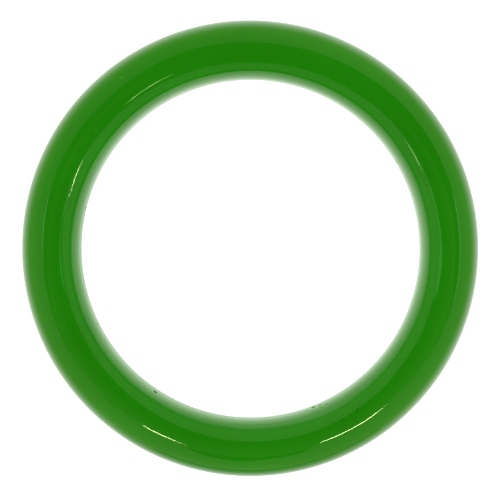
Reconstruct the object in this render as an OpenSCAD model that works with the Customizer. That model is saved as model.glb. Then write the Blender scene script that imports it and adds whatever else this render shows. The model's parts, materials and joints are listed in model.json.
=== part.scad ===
// Round tube bangle: one closed ring of solid plastic, with no hinge, clasp or opening.
// The ring lies flat. Its axis is Z, and its centre is the origin.
// Its two moulded halves meet at mid-height, where the parting line round the inside is
// trimmed to a narrow straight band. That band is the narrowest part of the wrist opening.

/* [Wrist opening] */
// Inside diameter of the ring, across the trimmed band
opening_d = 65; // [58:0.5:75]

/* [Section] */
// Diameter of the ring's round section
section_d = 10.9; // [8:0.1:16]
// Height of the trimmed band round the inside of the ring
trim_h = 1; // [0.4:0.1:2]

/* [Hidden] */

opening_r = opening_d / 2;
section_r = section_d / 2;
// Distance from the ring's axis to the centre of its section, so that a straight cut at
// opening_r leaves a band trim_h high
ring_r = opening_r + sqrt(pow(section_r, 2) - pow(trim_h / 2, 2));
ring_colour = [0.14, 0.50, 0.06];
ring_facets = 180;
section_facets = 72;

// Everything on the ring's side of the cut, as half of an (x, z) section
module kept_side() {
    translate([opening_r, -section_d])
        square([section_d * 2, section_d * 2]);
}

// The round section with its inner edge trimmed straight
module ring_section() {
    intersection() {
        translate([ring_r, 0])
            circle(d = section_d, $fn = section_facets);
        kept_side();
    }
}

// The whole bangle is this one piece
module bangle_ring() {
    color(ring_colour)
        rotate_extrude($fn = ring_facets)
            ring_section();
}

bangle_ring();
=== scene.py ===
"""Glossy green plastic bangle on a white sheet, inside a light tent that is open on top."""

import json
import math
import random

import bmesh
import bpy
from mathutils import Matrix, Vector, noise


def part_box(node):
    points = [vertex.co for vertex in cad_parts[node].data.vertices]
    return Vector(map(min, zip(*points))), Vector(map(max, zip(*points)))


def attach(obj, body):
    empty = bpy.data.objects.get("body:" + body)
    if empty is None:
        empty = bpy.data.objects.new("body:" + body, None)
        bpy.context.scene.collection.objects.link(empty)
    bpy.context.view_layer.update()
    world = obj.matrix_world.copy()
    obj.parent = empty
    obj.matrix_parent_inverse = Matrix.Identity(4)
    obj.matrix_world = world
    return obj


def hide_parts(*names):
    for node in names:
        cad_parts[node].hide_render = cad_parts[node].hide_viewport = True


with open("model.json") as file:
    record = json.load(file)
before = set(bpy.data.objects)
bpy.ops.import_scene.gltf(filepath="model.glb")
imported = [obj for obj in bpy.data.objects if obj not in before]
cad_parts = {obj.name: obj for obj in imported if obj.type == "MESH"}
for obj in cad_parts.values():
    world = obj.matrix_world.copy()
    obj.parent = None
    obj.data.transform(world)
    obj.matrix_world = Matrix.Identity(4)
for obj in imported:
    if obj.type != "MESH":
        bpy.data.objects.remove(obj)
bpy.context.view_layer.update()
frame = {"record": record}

MM = 0.001


# ---------------------------------------------------------------- sizes, all from the frame

node_low, node_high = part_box("bangle_ring")
opening = frame["record"]["mounts"][0]["dims"]

OPENING_R = opening["r_mm"] * MM
TRIM_H = opening["length_mm"] * MM
SECTION_R = (node_high.z - node_low.z) / 2
RING_R = OPENING_R + math.sqrt(SECTION_R**2 - (TRIM_H / 2) ** 2)
FLOOR_Z = node_low.z


# ---------------------------------------------------------------- node helpers


def new_material(name):
    """An empty node material, its node tree and its output node."""
    material = bpy.data.materials.new(name)
    material.use_nodes = True
    tree = material.node_tree
    tree.nodes.clear()
    return material, tree, tree.nodes.new("ShaderNodeOutputMaterial")


def add_node(tree, kind, **values):
    """A node with its properties set; a key that names no property sets the input socket of that name."""
    node = tree.nodes.new("ShaderNode" + kind)
    for key, value in values.items():
        if hasattr(node, key):
            setattr(node, key, value)
        else:
            node.inputs[key.replace("_", " ")].default_value = value
    return node


def maths(tree, operation, *terms):
    """A Math node on numbers or sockets; returns its output."""
    node = add_node(tree, "Math", operation=operation)
    for socket, term in zip(node.inputs, terms):
        if isinstance(term, (int, float)):
            socket.default_value = term
        else:
            tree.links.new(term, socket)
    return node.outputs[0]


def object_place(tree):
    """Object coordinates, in metres."""
    return add_node(tree, "TexCoord").outputs["Object"]


def object_axis(tree, axis):
    """One of the object coordinates: "X", "Y" or "Z"."""
    xyz = add_node(tree, "SeparateXYZ")
    tree.links.new(object_place(tree), xyz.inputs[0])
    return xyz.outputs[axis]


def axis_distance(tree, x=0.0, y=0.0):
    """Distance from the upright line through a point."""
    offset = add_node(tree, "VectorMath", operation="SUBTRACT")
    offset.inputs[1].default_value = (x, y, 0)
    tree.links.new(object_place(tree), offset.inputs[0])
    flat = add_node(tree, "VectorMath", operation="MULTIPLY")
    flat.inputs[1].default_value = (1, 1, 0)
    tree.links.new(offset.outputs[0], flat.inputs[0])
    distance = add_node(tree, "VectorMath", operation="LENGTH")
    tree.links.new(flat.outputs[0], distance.inputs[0])
    return distance.outputs["Value"]


def noise_value(tree, place, scale, detail, roughness=0.5):
    """Noise between 0 and 1."""
    node = add_node(tree, "TexNoise", Scale=scale, Detail=detail, Roughness=roughness)
    tree.links.new(place, node.inputs["Vector"])
    return node.outputs["Fac"]


def remap(tree, value, from_low, from_high, to_low, to_high):
    """A value moved from one range to another, and held at its ends."""
    node = add_node(tree, "MapRange", From_Min=from_low, From_Max=from_high)
    node.inputs["To Min"].default_value = to_low
    node.inputs["To Max"].default_value = to_high
    tree.links.new(value, node.inputs["Value"])
    return node.outputs["Result"]


def colour_ramp(tree, value, stops):
    """Colours by value, from (value, colour) stops, as shares of the brightest channel.

    Returns the colour socket and that brightest channel.
    """
    first, last = stops[0][0], stops[-1][0]
    brightest = max(max(colour) for _, colour in stops)
    ramp = add_node(tree, "ValToRGB")
    elements = ramp.color_ramp.elements
    for k, (at, colour) in enumerate(stops):
        position = (at - first) / (last - first)
        element = elements[k] if k < 2 else elements.new(position)
        element.position = position
        element.color = [c / brightest for c in colour] + [1]
    tree.links.new(remap(tree, value, first, last, 0, 1), ramp.inputs[0])
    return ramp.outputs[0], brightest


# ---------------------------------------------------------------- shape helpers


def mesh_object(name, mesh, material):
    """An object in the scene with one material."""
    obj = bpy.data.objects.new(name, mesh)
    bpy.context.scene.collection.objects.link(obj)
    obj.data.materials.append(material)
    return obj


def level_disc(name, radius, z, material):
    """A round sheet on the ring's axis."""
    mesh = bpy.data.meshes.new(name)
    corners = [tuple(polar(b, radius, z)) for b in range(0, 360, 10)]
    mesh.from_pydata(corners, [], [range(len(corners))])
    return mesh_object(name, mesh, material)


def polar(bearing, radius, z):
    """The point at a bearing in degrees from +X towards +Y."""
    angle = math.radians(bearing)
    return Vector((radius * math.cos(angle), radius * math.sin(angle), z))


def turn_between(bearing, other):
    """The shorter turn from one bearing to another, in degrees, with its sign."""
    return (other - bearing + 180) % 360 - 180


def eased(points, bearing):
    """The value at a bearing, eased between neighbouring points of a closed outline."""
    for (b0, v0), (b1, v1) in zip(points, points[1:] + ((points[0][0] + 360, points[0][1]),)):
        if b0 <= bearing < b1 or b0 <= bearing + 360 < b1:
            turn = ((bearing - b0) % 360) / (b1 - b0)
            return v0 + (v1 - v0) * (1 - math.cos(math.pi * turn)) / 2
    return points[0][1]


# ---------------------------------------------------------------- green plastic

PLASTIC_DARK = (0.0102, 0.196, 0.0012, 1)
PLASTIC_LIGHT = (0.0112, 0.214, 0.0014, 1)
PLASTIC_IOR = 1.5
CLOUD_SCALE = 90

# Roughness of the polish, and what the trimmed band and the light specks add to it.
POLISH_SCALE = 240
SMOOTHEST, ROUGHEST = 0.028, 0.05
BAND_ROUGHNESS = 0.02
SPECK_ROUGHNESS = 0.25

# Tiny dark pits: how fine they are, and how far they go towards the dark colour.
PIT_SCALE = 1700
PIT_SHARE = 0.5
DARK_SPECK = (0.0055, 0.12, 0.0008, 1)
LIGHT_SPECK = (0.05, 0.34, 0.03, 1)

# Specks on the surface: (bearing, distance from the axis, height, reach), lengths in mm.
DARK_SPECKS = (
    (304.5, 35.36, 4.81, 0.24), (304.1, 35.64, 4.93, 0.18), (300.9, 33.81, 3.57, 0.20),
    (299.5, 34.33, 4.10, 0.17), (302.8, 34.20, 3.97, 0.17), (295.9, 35.02, 4.61, 0.17),
)
LIGHT_SPECKS = ((126.1, 39.11, 5.32, 0.20), (141.5, 35.68, 4.97, 0.12), (300.6, 33.26, 2.82, 0.24))
PITTED_SPOT = (300.0, 35.1, 4.6, 4.5)


def trimmed_band_mask(tree):
    """1 on the trimmed band round the inside of the ring, 0 elsewhere."""
    height = maths(tree, "ABSOLUTE", object_axis(tree, "Z"))
    inside = remap(tree, axis_distance(tree), OPENING_R + 0.10 * MM, OPENING_R + 0.35 * MM, 1, 0)
    level = remap(tree, height, TRIM_H * 0.45, TRIM_H * 0.8, 1, 0)
    return maths(tree, "MULTIPLY", inside, level)


def speck_mask(tree, place, specks):
    """1 on every speck of a list, 0 elsewhere."""
    mask = 0.0
    for bearing, radius, height, reach in specks:
        distance = add_node(tree, "VectorMath", operation="DISTANCE")
        distance.inputs[1].default_value = polar(bearing, radius * MM, height * MM)
        tree.links.new(place, distance.inputs[0])
        near = remap(tree, distance.outputs["Value"], reach * 0.5 * MM, reach * MM, 1, 0)
        mask = maths(tree, "MAXIMUM", near, mask)
    return mask


def pitted_mask(tree, place):
    """PIT_SHARE on the tiny dark pits that crowd one spot of the inner shoulder, 0 elsewhere."""
    cells = add_node(tree, "TexVoronoi", Scale=PIT_SCALE)
    tree.links.new(place, cells.inputs["Vector"])
    pits = remap(tree, cells.outputs["Distance"], 0.15, 0.38, PIT_SHARE, 0)
    return maths(tree, "MULTIPLY", pits, speck_mask(tree, place, [PITTED_SPOT]))


def mixed_colour(tree, share, first, second):
    """From the first colour at share 0 to the second at share 1; colours are tuples or sockets."""
    mix = add_node(tree, "Mix", data_type="RGBA")
    for socket, colour in ((mix.inputs[6], first), (mix.inputs[7], second)):
        if isinstance(colour, tuple):
            socket.default_value = colour
        else:
            tree.links.new(colour, socket)
    tree.links.new(share, mix.inputs[0])
    return mix.outputs[2]


def green_plastic():
    """Glossy green plastic with slight clouds, specks, pits and an uneven polish."""
    material, tree, output = new_material("green_plastic")
    plastic = add_node(tree, "BsdfPrincipled", IOR=PLASTIC_IOR)
    place = object_place(tree)
    dark = maths(tree, "MAXIMUM", speck_mask(tree, place, DARK_SPECKS), pitted_mask(tree, place))
    light = speck_mask(tree, place, LIGHT_SPECKS)

    clouds = remap(tree, noise_value(tree, place, CLOUD_SCALE, detail=3), 0.3, 0.7, 0, 1)
    plain = mixed_colour(tree, clouds, PLASTIC_DARK, PLASTIC_LIGHT)
    darkened = mixed_colour(tree, dark, plain, DARK_SPECK)
    tree.links.new(mixed_colour(tree, light, darkened, LIGHT_SPECK), plastic.inputs["Base Color"])

    unevenness = noise_value(tree, place, POLISH_SCALE, detail=4, roughness=0.6)
    polish = remap(tree, unevenness, 0.35, 0.75, SMOOTHEST, ROUGHEST)
    band = maths(tree, "MULTIPLY", trimmed_band_mask(tree), BAND_ROUGHNESS)
    specks = maths(tree, "MULTIPLY", light, SPECK_ROUGHNESS)
    roughness = maths(tree, "ADD", maths(tree, "ADD", polish, band), specks)
    tree.links.new(roughness, plastic.inputs["Roughness"])

    tree.links.new(plastic.outputs[0], output.inputs["Surface"])
    return material


# ---------------------------------------------------------------- bangle

SEGMENTS = 1200
BAND_ROWS = 9
# Runs of mesh rows round the section: (degrees where the run ends, rows).
# 180 is the inner side and 90 is the top.
ROW_RUNS = ((158, 12), (110, 15), (-125, 34), (-180, 8))

# The inner shoulder is set a little flatter than a round section, to put the dark line in the
# gloss in its place. It stands for no known wear: (bearing, depth in mm).
# The dent is deepest at SHOULDER_AT degrees round the section.
SHOULDER_DENT = (
    (0, 0.07), (45, 0.07), (75, 0.015), (105, -0.02), (150, 0.04), (190, 0.095), (225, 0.054),
    (255, 0.135), (285, 0.18), (298, 0.22), (315, 0.16), (340, 0.10),
)
SHOULDER_AT = 148
SHOULDER_SPREAD = 11.5

# Nicks on the inner side: (bearing, height, half length, half height, depth), lengths in mm.
NICKS = (
    (236.1, 1.0, 0.55, 0.30, 0.30), (291.9, 0.15, 0.55, 0.45, 0.30), (294.3, 0.7, 0.45, 0.25, 0.18),
    (296.4, 1.4, 0.30, 0.22, 0.15), (294.5, 1.75, 0.25, 0.22, 0.12), (289.2, 0.85, 0.35, 0.22, 0.14),
    (287.3, 0.75, 0.30, 0.20, 0.12), (165.5, -0.1, 0.30, 0.35, 0.20), (205.9, 0.5, 0.25, 0.25, 0.17),
    (211.6, 1.1, 0.25, 0.22, 0.12), (179.7, 0.2, 0.25, 0.25, 0.14), (31.2, 0.0, 0.28, 0.30, 0.15),
)
SMALL_NICKS = 45
# Nicks reach this far up and down the section, and this far round the ring, in degrees.
NICKED_FROM = 155
NICK_WINDOW = 2

# Slight waves all over: depth in mm, and how fast they change round the ring and with height.
WAVE_DEPTH = 0.008
WAVES_ROUND = 6
WAVES_UP = 400


def section_points():
    """The ring's section as (radius, height, angle), from the top of the trimmed band to its foot."""
    trim_angle = math.degrees(math.asin(TRIM_H / 2 / SECTION_R))
    begin = 180 - trim_angle
    points = []
    for end, rows in ROW_RUNS:
        end = max(end, trim_angle - 180)
        for i in range(rows):
            points.append(section_point(begin + (end - begin) * i / rows))
        begin = end
    points.append(section_point(begin))
    return points


def section_point(degrees):
    """A point of the round section as (radius, height, angle)."""
    angle = math.radians(degrees)
    return RING_R + SECTION_R * math.cos(angle), SECTION_R * math.sin(angle), degrees


def band_points():
    """The trimmed band from its foot to its top, without the two ends."""
    return [(OPENING_R, TRIM_H * (k / BAND_ROWS - 0.5), 180) for k in range(1, BAND_ROWS)]


def seeded_nicks():
    """The named nicks and a row of small ones round the inner side."""
    rng = random.Random(21)
    nicks = list(NICKS)
    for _ in range(SMALL_NICKS):
        size = rng.uniform(0.14, 0.26)
        depth = rng.uniform(0.01, 0.035)
        half_height = size * rng.uniform(0.7, 1.0)
        nicks.append((rng.uniform(0, 360), rng.uniform(-0.3, 1.6), size, half_height, depth))
    return nicks


def nick_depth(nicks, bearing, height):
    """How deep the surface lies below the plain ring at a place on the inner side, in metres."""
    depth = 0.0
    for at, level, half_length, half_height, deepest in nicks:
        along = math.radians(turn_between(at, bearing)) * OPENING_R / (half_length * MM)
        across = (height - level * MM) / (half_height * MM)
        reach = along * along + across * across
        if reach < 1:
            depth = max(depth, deepest * MM * (1 - reach) ** 2)
    return depth


def surface_offset(nicks, bearing, height, degrees, dent):
    """Outward offset of the surface from the plain ring: the shoulder's dent, slight waves and nicks."""
    turn = (degrees - SHOULDER_AT) / SHOULDER_SPREAD
    offset = -dent * MM * math.exp(-turn * turn / 2)
    if abs(degrees) > NICKED_FROM:
        offset -= nick_depth(nicks, bearing, height)
    place = polar(bearing, WAVES_ROUND, height * WAVES_UP)
    return offset + WAVE_DEPTH * MM * noise.noise(place)


def ring_of_points(loop, nicks, bearing):
    """The section at one bearing, with its dent, waves and nicks."""
    dent = eased(SHOULDER_DENT, bearing)
    near = [nick for nick in nicks if abs(turn_between(nick[0], bearing)) < NICK_WINDOW]
    points = []
    for radius, height, degrees in loop:
        offset = surface_offset(near, bearing, height, degrees, dent)
        across = radius - RING_R
        share = offset / math.hypot(across, height)
        points.append(polar(bearing, radius + across * share, height * (1 + share)))
    return points


def bangle():
    """The whole ring as one closed mesh of quads."""
    loop = section_points() + band_points()
    nicks = seeded_nicks()
    mesh = bpy.data.meshes.new("bangle")
    bm = bmesh.new()
    rings = []
    for s in range(SEGMENTS):
        points = ring_of_points(loop, nicks, 360 * s / SEGMENTS)
        rings.append([bm.verts.new(point) for point in points])
    for s, ring in enumerate(rings):
        after = rings[(s + 1) % SEGMENTS]
        for k in range(len(loop)):
            m = (k + 1) % len(loop)
            bm.faces.new((ring[k], ring[m], after[m], after[k]))
    bmesh.ops.recalc_face_normals(bm, faces=bm.faces)
    for face in bm.faces:
        face.smooth = True
    bm.to_mesh(mesh)
    bm.free()
    piece = mesh_object("bangle", mesh, green_plastic())
    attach(piece, "root")
    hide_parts("bangle_ring")


# ---------------------------------------------------------------- light tent, seen only in the gloss

LOWER_Z = 1.2 * RING_R
UPPER_Z = 6.0 * RING_R
CAP_Z = 20 * RING_R
TENT_R = 40 * RING_R
RIM_R = 4.5 * RING_R
RIM_SPLIT_Z = 0.55 * RING_R
FAR_SHADE_R = 0.25 * RING_R
FAR_SHADE_TOP = 0.127 * RING_R
NEAR_SHADE_R = 0.95 * RING_R
NEAR_SHADE_FOOT = 0.15 * RING_R
NEAR_SHADE_TOP = 1.1 * RING_R
DARK_LINE_R = 4.4 * RING_R

# Dark lines low on the rim: (name, foot and top in ring radii, bearings).
DARK_LINES = (
    ("dark_line_left", 0.2, 0.54, range(244, 277, 4)),
    ("dark_line_right", 0.37, 0.68, range(276, 305, 4)),
)

# Bearings, in degrees, of the corners of the tent's sheets and walls.
FINE_BEARINGS = [b * 0.5 for b in range(721)]
COARSE_BEARINGS = range(0, 361, 3)

TENT_LIGHT = (0.47, 0.52, 0.28)
LAMP_LIGHT = (44.0, 49.0, 23.0)
FAINT_LAMP_LIGHT = (10.0, 13.3, 5.1)
TEAL_LIGHT = (1.1, 2.1, 1.15)
PALE_TEAL_LIGHT = (0.55, 1.5, 0.5)
CAP_LIGHT = (0.065, 0.035, 0.035)
DARK_LINE = (0.18, 0.02, 0.1)

# Openings of the two tent sheets: (bearing, radius in ring radii).
LOWER_OPENING = (
    (5, 1.52), (11, 1.53), (17, 1.65), (30, 1.68), (42, 1.64), (50, 1.55), (60, 1.45), (70, 1.37),
    (88, 1.30), (108, 1.38), (130, 1.29), (150, 1.39), (164, 1.39), (173, 1.26), (184, 1.25),
    (193, 1.33), (205, 1.37), (211, 1.35), (218, 1.23), (223, 1.25), (228, 1.38), (234, 1.24),
    (250, 1.22), (253, 1.60), (258, 1.77), (266, 1.88), (272, 1.72), (282, 1.62), (288, 1.22),
    (310, 1.24), (324, 1.40), (334, 1.51), (345, 1.53),
)
UPPER_OPENING = (
    (0, 9.5), (14, 9.3), (27, 8.9), (34, 7.7), (50, 6.9), (60, 6.4), (73, 5.5), (87, 4.4), (104, 3.9),
    (120, 3.85), (134, 4.6), (141, 4.7), (150, 5.8), (160, 5.9), (169, 6.5), (176, 6.5), (184, 4.8),
    (210, 4.9), (224, 5.3), (230, 6.3), (236, 7.7), (251, 9.0), (267, 10.4), (274, 9.4), (286, 9.0),
    (305, 7.9), (315, 7.6), (324, 5.7), (333, 4.9), (341, 5.6), (346, 8.4),
)

# Light by distance from the ring's axis or by height, in ring radii: (place, (red, green, blue)).
INNER_FLOOR = (
    (0.0, (1.8, 1.57, 1.34)), (0.2, (2.15, 1.92, 1.66)), (0.4, (2.7, 2.43, 2.15)),
    (0.6, (3.0, 2.78, 2.6)), (0.74, (3.1, 2.95, 2.85)), (0.80, (2.25, 2.2, 2.15)),
    (0.86, (1.5, 1.48, 1.45)), (1.0, (1.2, 1.2, 1.2)),
)
OUTER_FLOOR = (
    (1.0, (1.3, 1.3, 1.3)), (1.25, (1.75, 1.72, 1.7)), (1.45, (1.88, 1.82, 1.74)),
    (1.75, (1.95, 1.8, 1.66)), (2.2, (1.8, 1.6, 1.42)), (3.0, (1.62, 1.42, 1.2)),
    (4.5, (1.42, 1.22, 1.0)),
)
RIM_WALL = (
    (-0.15, (1.6, 1.4, 1.15)), (0.1, (1.35, 1.2, 0.95)), (0.35, (1.12, 1.0, 0.74)),
    (0.65, (0.9, 0.85, 0.53)), (1.0, (0.72, 0.70, 0.37)),
)
LOWER_SHEET = (
    (1.2, (0.42, 0.47, 0.23)), (1.5, (0.50, 0.54, 0.27)), (1.8, (0.57, 0.60, 0.30)),
    (2.2, (0.60, 0.63, 0.32)), (3.1, (0.67, 0.67, 0.34)), (4.5, (0.70, 0.70, 0.37)),
)
NEAR_SHADE = ((-1.0, (0.34, 0.42, 0.21)), (-0.4, (0.45, 0.51, 0.27)))
VEIL_INNER = 0.62
VEIL_SLOPE = 0.9
VEIL = (
    (VEIL_INNER, (0.10, 0.09, 0.045)), (0.75, (0.14, 0.12, 0.055)), (0.9, (0.18, 0.18, 0.075)),
    (1.1, (0.24, 0.27, 0.11)), (1.75, (0.25, 0.28, 0.12)),
)
# The veil's outer edge: (bearing, radius in ring radii). It rises outwards from VEIL_INNER.
VEIL_EDGE = (
    (5, 1.24), (25, 1.0), (45, 0.70), (90, 0.63), (120, 0.70), (140, 0.92), (180, 0.95), (205, 1.4),
    (225, 1.75), (342, 1.75), (352, 1.24),
)
# Painted shade and painted reflection, seen only in the gloss: the light fades upwards as painted shade
# on the floor by the foot of the ring's far side, and the dim top stands in for the ring's own reflection
# of its far wall.
FAR_SHADE = (
    (-0.15, (2.0, 1.72, 1.54)), (-0.115, (1.55, 1.37, 1.22)), (-0.06, (0.95, 0.85, 0.72)),
    (-0.01, (0.42, 0.25, 0.28)), (0.13, (0.38, 0.18, 0.24)),
)

# Dimmer round patches: (centre x, centre y, radius of the dim part, radius where it ends, least share).
NEAR_PATCH = (-0.3, -3.6, 0.5, 3.2, 0.42)
LEFT_PATCH = (-1.4, 1.5, 0.7, 2.2, 0.76)
LEFT_FLOOR_PATCH = (-0.38, 0.05, 0.1, 0.65, 0.79)
FAR_FLOOR_PATCH = (0.0, 0.45, 0.15, 0.5, 0.74)
RIGHT_FLOOR_PATCH = (0.12, 0.07, 0.0, 0.2, 0.88)
SHADE_PATCH = (0.06, -0.27, 0.04, 0.6, 0.25)
RIGHT_SHADE_PATCH = (0.2, 0.15, 0.05, 0.26, 0.76)

LOW_LAMP_Z = 1.12 * RING_R
HIGH_LAMP_Z = 5.8 * RING_R
LOW_LAMP_TILT = 50
LAMP_STEPS = 6

# Lamps: (bearing, radius in ring radii, share of the full width).
LAMP_A = (
    (287.5, 1.20, 0.2), (289.5, 1.20, 0.7), (292, 1.21, 1.1), (296, 1.23, 0.95), (300, 1.26, 0.95),
    (303, 1.28, 1.2), (306, 1.27, 0.75), (309, 1.28, 0.15),
)
LAMP_B = (
    (237.5, 1.22, 0.15), (240, 1.23, 0.85), (242.5, 1.22, 1.3), (245.5, 1.20, 1.0), (247.5, 1.20, 0.75),
    (249.5, 1.21, 0.2), (251.5, 1.19, 0.05),
)
LAMP_C = (
    (338, 7.60, 0.1), (336, 8.20, 0.4), (334, 7.80, 0.8), (331.7, 7.20, 1.05), (329.6, 6.80, 0.7),
    (327.4, 6.60, 0.4), (325.4, 6.45, 0.12),
)
LAMP_D = (
    (304, 4.80, 0.05), (302.9, 4.80, 0.4), (301.1, 4.80, 1.1), (299, 4.70, 0.4), (297.2, 4.70, 0.45),
    (295.2, 4.68, 0.75), (293.2, 4.55, 1.0), (291.5, 4.60, 0.35), (287.7, 4.55, 0.1),
)
LAMP_E = (
    (218, 6.40, 0.1), (215.1, 6.20, 0.65), (213.2, 6.46, 0.95), (211.4, 6.65, 1.05),
    (209.6, 6.75, 0.55), (207.8, 6.70, 0.12),
)
TEAL_LEFT_LOW = ((165, 1.37, 0.2), (169, 1.36, 0.8), (175, 1.33, 1.1), (180, 1.32, 0.8), (184, 1.28, 0.2))
TEAL_RIGHT_LOW = (
    (-16, 1.57, 0.8), (-9, 1.57, 1.1), (-2, 1.57, 2.2), (5, 1.58, 2.7), (10.5, 1.58, 2.4),
    (14.5, 1.60, 0.4),
)
TEAL_LEFT_HIGH = (
    (338, 6.4, 0.4), (341, 6.3, 0.6), (347, 6.05, 0.35), (352, 5.97, 0.45), (357, 5.97, 0.9),
    (362, 6.1, 1.1), (366, 6.35, 0.6), (370, 6.3, 0.1),
)
TEAL_RIGHT_HIGH = (
    (172, 4.8, 0.3), (176, 5.2, 1.5), (180, 5.25, 1.5), (184, 5.13, 1.6), (190, 5.10, 0.9),
    (197, 5.4, 0.6), (204, 5.6, 0.7),
)


def glow(name, colour, strength=1.0, one_sided=False):
    """Light-giving material of one colour."""
    material, tree, output = new_material(name)
    light = add_node(tree, "Emission", Strength=strength)
    light.inputs["Color"].default_value = (*colour, 1)
    finish_glow(material, tree, output, light, one_sided)
    return material


def finish_glow(material, tree, output, light, one_sided):
    """Joins a light to the output; one_sided leaves its back clear."""
    shader = light.outputs[0]
    if one_sided:
        side = add_node(tree, "NewGeometry")
        clear = add_node(tree, "BsdfTransparent")
        mix = add_node(tree, "MixShader")
        tree.links.new(side.outputs["Backfacing"], mix.inputs[0])
        tree.links.new(shader, mix.inputs[1])
        tree.links.new(clear.outputs[0], mix.inputs[2])
        shader = mix.outputs[0]
    tree.links.new(shader, output.inputs["Surface"])
    material.cycles.emission_sampling = "NONE"


def patch_share(tree, patch):
    """The least share inside a round patch, rising to 1 outside it; lengths in ring radii."""
    centre_x, centre_y, inner, outer, least = patch
    distance = axis_distance(tree, centre_x * RING_R, centre_y * RING_R)
    node = add_node(tree, "MapRange", interpolation_type="SMOOTHSTEP", To_Min=least, To_Max=1.0)
    node.inputs["From Min"].default_value = inner * RING_R
    node.inputs["From Max"].default_value = outer * RING_R
    tree.links.new(distance, node.inputs["Value"])
    return node.outputs["Result"]


def graded_glow(name, stops, along="radius", patches=(), one_sided=False):
    """Light-giving material that follows a list of stops along "radius", "Y" or "Z"."""
    material, tree, output = new_material(name)
    measure = axis_distance(tree) if along == "radius" else object_axis(tree, along)
    colour, brightest = colour_ramp(tree, measure, [(at * RING_R, light) for at, light in stops])
    light = add_node(tree, "Emission", Strength=brightest)
    tree.links.new(colour, light.inputs["Color"])
    if patches:
        strength = brightest
        for patch in patches:
            strength = maths(tree, "MULTIPLY", patch_share(tree, patch), strength)
        tree.links.new(strength, light.inputs["Strength"])
    finish_glow(material, tree, output, light, one_sided)
    return material


def gloss_only(obj):
    """Only mirror rays see it."""
    obj.visible_camera = False
    obj.visible_diffuse = False
    obj.visible_shadow = False
    obj.visible_transmission = False
    obj.visible_volume_scatter = False


def strip(name, first, second, material):
    """Quads between two rows of points, for the gloss only."""
    mesh = bpy.data.meshes.new(name)
    count = len(first)
    faces = [(i, i + 1, count + i + 1, count + i) for i in range(count - 1)]
    mesh.from_pydata([tuple(p) for p in first + second], [], faces)
    gloss_only(mesh_object(name, mesh, material))


def wall(name, radius, foot, top, material, bearings=COARSE_BEARINGS):
    """An upright round wall; its front faces inwards."""
    low = [polar(b, radius, foot) for b in bearings]
    high = [polar(b, radius, top) for b in bearings]
    strip(name, high, low, material)


def holed_sheet(name, z, outline, material):
    """A level sheet as wide as the tent, with an opening."""
    inner = [polar(b, RING_R * eased(outline, b % 360), z) for b in FINE_BEARINGS]
    outer = [polar(b, TENT_R, z) for b in FINE_BEARINGS]
    strip(name, inner, outer, material)


def flat_ring(name, z, inner, outer, material):
    """A level ring between two radii."""
    near = [polar(b, inner, z) for b in COARSE_BEARINGS]
    far = [polar(b, outer, z) for b in COARSE_BEARINGS]
    strip(name, near, far, material)


def lamp(name, path, z, half_width, material, tilt=0):
    """A narrow light along a path, its outer edge raised by tilt degrees."""
    near, far = [], []
    for (b0, r0, w0), (b1, r1, w1) in zip(path, path[1:]):
        for k in range(LAMP_STEPS + 1):
            bearing = b0 + (b1 - b0) * k / LAMP_STEPS
            radius = RING_R * (r0 + (r1 - r0) * k / LAMP_STEPS)
            width = RING_R * half_width * (w0 + (w1 - w0) * k / LAMP_STEPS)
            across = width * math.cos(math.radians(tilt))
            rise = width * math.sin(math.radians(tilt))
            near.append(polar(bearing, radius - across, z - rise))
            far.append(polar(bearing, radius + across, z + rise))
    strip(name, near, far, material)


def veil():
    """A faint warm cloth inside the opening, seen from the top and outer side of the ring only."""
    inner, outer = [], []
    for b in FINE_BEARINGS:
        edge = eased(VEIL_EDGE, b % 360)
        inner.append(polar(b, RING_R * VEIL_INNER, RING_R))
        outer.append(polar(b, RING_R * edge, RING_R * (1 + VEIL_SLOPE * (edge - VEIL_INNER))))
    strip("veil", inner, outer, graded_glow("veil", VEIL, one_sided=True))


def tent():
    """The two sheets with their openings, the wall, the rim and the dark cap."""
    sheet = glow("tent_sheet", TENT_LIGHT)
    lower = graded_glow("tent_lower", LOWER_SHEET, patches=[LEFT_PATCH])
    holed_sheet("tent_lower", LOWER_Z, LOWER_OPENING, lower)
    holed_sheet("tent_upper", UPPER_Z, UPPER_OPENING, sheet)
    wall("tent_wall", TENT_R, FLOOR_Z, CAP_Z, sheet)
    flat_ring("tent_cap", CAP_Z, 0, TENT_R, glow("tent_cap", CAP_LIGHT))
    rim = graded_glow("tent_rim", RIM_WALL, along="Z")
    wall("tent_rim", RIM_R, RIM_SPLIT_Z, LOWER_Z, rim)
    foot = graded_glow("rim_foot", RIM_WALL, along="Z", patches=[NEAR_PATCH])
    wall("rim_foot", RIM_R, FLOOR_Z, RIM_SPLIT_Z, foot)


def tent_floor():
    """The floor that the gloss sees, inside and outside the ring."""
    floor_z = FLOOR_Z - 0.02 * MM
    dips = [LEFT_FLOOR_PATCH, FAR_FLOOR_PATCH, RIGHT_FLOOR_PATCH]
    inside = graded_glow("floor_inside", INNER_FLOOR, patches=dips)
    flat_ring("floor_inside", floor_z, 0, RING_R, inside)
    outside = graded_glow("floor_outside", OUTER_FLOOR, patches=[NEAR_PATCH])
    flat_ring("floor_outside", floor_z, RING_R, RIM_R, outside)


def shades():
    """Dimmer walls: two inside the ring, seen from their fronts only, and the dark lines on the rim."""
    dips = [SHADE_PATCH, RIGHT_SHADE_PATCH]
    far = graded_glow("far_shade", FAR_SHADE, along="Z", patches=dips, one_sided=True)
    wall("far_shade", FAR_SHADE_R, FLOOR_Z, FAR_SHADE_TOP, far)
    near = graded_glow("near_shade", NEAR_SHADE, along="Y", one_sided=True)
    wall("near_shade", NEAR_SHADE_R, NEAR_SHADE_FOOT, NEAR_SHADE_TOP, near)
    line = glow("dark_line", DARK_LINE)
    for name, foot, top, bearings in DARK_LINES:
        wall(name, DARK_LINE_R, foot * RING_R, top * RING_R, line, bearings)


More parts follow.
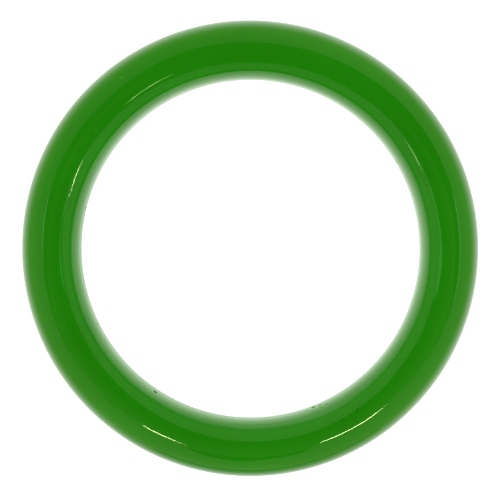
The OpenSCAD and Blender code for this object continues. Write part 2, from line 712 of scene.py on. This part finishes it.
def lamps():
    """The bright lamps, and the pale teal strips beside the openings."""
    bright = glow("lamp_bright", LAMP_LIGHT, one_sided=True)
    lamp("lamp_a", LAMP_A, LOW_LAMP_Z, 0.035, bright, LOW_LAMP_TILT)
    lamp("lamp_b", LAMP_B, LOW_LAMP_Z, 0.035, bright, LOW_LAMP_TILT)
    teal = glow("lamp_teal", TEAL_LIGHT, one_sided=True)
    lamp("teal_left_low", TEAL_LEFT_LOW, LOW_LAMP_Z, 0.08, teal, LOW_LAMP_TILT)
    lamp("teal_right_low", TEAL_RIGHT_LOW, LOW_LAMP_Z, 0.08, teal, LOW_LAMP_TILT)

    lamp("lamp_c", LAMP_C, HIGH_LAMP_Z, 0.3, glow("lamp_c", LAMP_LIGHT, 0.7))
    lamp("lamp_d", LAMP_D, HIGH_LAMP_Z, 0.2, glow("lamp_d", FAINT_LAMP_LIGHT, 1.1))
    lamp("lamp_e", LAMP_E, HIGH_LAMP_Z, 0.3, glow("lamp_e", FAINT_LAMP_LIGHT, 0.9))
    pale = glow("lamp_pale_teal", PALE_TEAL_LIGHT)
    lamp("teal_left_high", TEAL_LEFT_HIGH, HIGH_LAMP_Z, 0.8, pale)
    lamp("teal_right_high", TEAL_RIGHT_HIGH, HIGH_LAMP_Z, 0.8, pale)


# ---------------------------------------------------------------- white sheet and even light

SHEET_COLOUR = (0.8, 0.8, 0.8, 1)
SHEET_GLOW = 0.85
FLOOR_REACH = 60.0

# Even light by the sine of its height above the horizon.
SKY_LIGHT = ((-1.0, 0.1), (-0.02, 0.8), (0.0, 1.0), (0.3, 2.6), (0.6, 0.68), (0.85, 0.65), (1.0, 0.9))

# Level discs that change the even light near the ring.
LIT_SHEET_Z = FLOOR_Z - 0.05 * MM
LIT_SHEET_LIGHT = (1.3, 1.3, 1.3)
LENS_SHADE_R = 0.52 * RING_R
LENS_SHADE_LIGHT = (0.02, 0.02, 0.02)


def pale_floor():
    """The sheet that the camera sees: white, with a soft shade where the ring stands on it."""
    material, tree, output = new_material("pale_floor")
    sheet = add_node(tree, "BsdfDiffuse", Color=SHEET_COLOUR)
    lit = add_node(tree, "Emission", Color=(1, 1, 1, 1), Strength=SHEET_GLOW)
    both = add_node(tree, "AddShader")
    tree.links.new(sheet.outputs[0], both.inputs[0])
    tree.links.new(lit.outputs[0], both.inputs[1])
    tree.links.new(both.outputs[0], output.inputs["Surface"])
    material.cycles.emission_sampling = "NONE"
    floor = level_disc("pale_floor", FLOOR_REACH, FLOOR_Z, material)
    floor.visible_diffuse = False
    floor.visible_glossy = False
    floor.visible_shadow = False


def soft_light():
    """White light from all round, strongest a little above the horizon and weakest from below."""
    world = bpy.data.worlds.new("soft_light")
    world.use_nodes = True
    bpy.context.scene.world = world
    tree = world.node_tree
    tree.nodes.clear()
    output = tree.nodes.new("ShaderNodeOutputWorld")
    place = add_node(tree, "TexCoord")
    xyz = add_node(tree, "SeparateXYZ")
    tree.links.new(place.outputs["Generated"], xyz.inputs[0])
    greys = [(height, (light, light, light)) for height, light in SKY_LIGHT]
    colour, brightest = colour_ramp(tree, xyz.outputs["Z"], greys)
    sky = add_node(tree, "Background", Strength=brightest)
    tree.links.new(colour, sky.inputs["Color"])
    tree.links.new(sky.outputs[0], output.inputs["Surface"])
    world.cycles_visibility.glossy = False


def round_shade(name, radius, z, light):
    """A level disc on the ring's axis that changes the even light on one side of the ring."""
    disc = level_disc(name, radius, z, glow(name, light))
    disc.visible_camera = False
    disc.visible_glossy = False


# ---------------------------------------------------------------- camera

CAMERA_AT = Vector((4.2, 6.7, 119.74)) * MM
CAMERA_AIM = Vector((3.75, 2.27, 0)) * MM
LENS = 45.13
SENSOR_WIDTH = 36
SHIFT = (-0.0396, -0.0223)


def camera():
    """The camera, nearly straight above the ring."""
    data = bpy.data.cameras.new("camera")
    data.lens = LENS
    data.sensor_width = SENSOR_WIDTH
    data.shift_x, data.shift_y = SHIFT
    data.clip_start = 0.005
    obj = bpy.data.objects.new("camera", data)
    bpy.context.scene.collection.objects.link(obj)
    forward = (CAMERA_AIM - CAMERA_AT).normalized()
    right = forward.cross(Vector((0, 1, 0))).normalized()
    up = right.cross(forward)
    turn = Matrix((right, up, -forward)).transposed()
    obj.matrix_world = Matrix.Translation(CAMERA_AT) @ turn.to_4x4()
    bpy.context.scene.camera = obj


camera()
bangle()
tent()
tent_floor()
shades()
veil()
lamps()
pale_floor()
round_shade("lit_sheet", OPENING_R, LIT_SHEET_Z, LIT_SHEET_LIGHT)
round_shade("lens_shade", LENS_SHADE_R, RING_R, LENS_SHADE_LIGHT)
soft_light()
bpy.context.scene.view_settings.view_transform = "Standard"
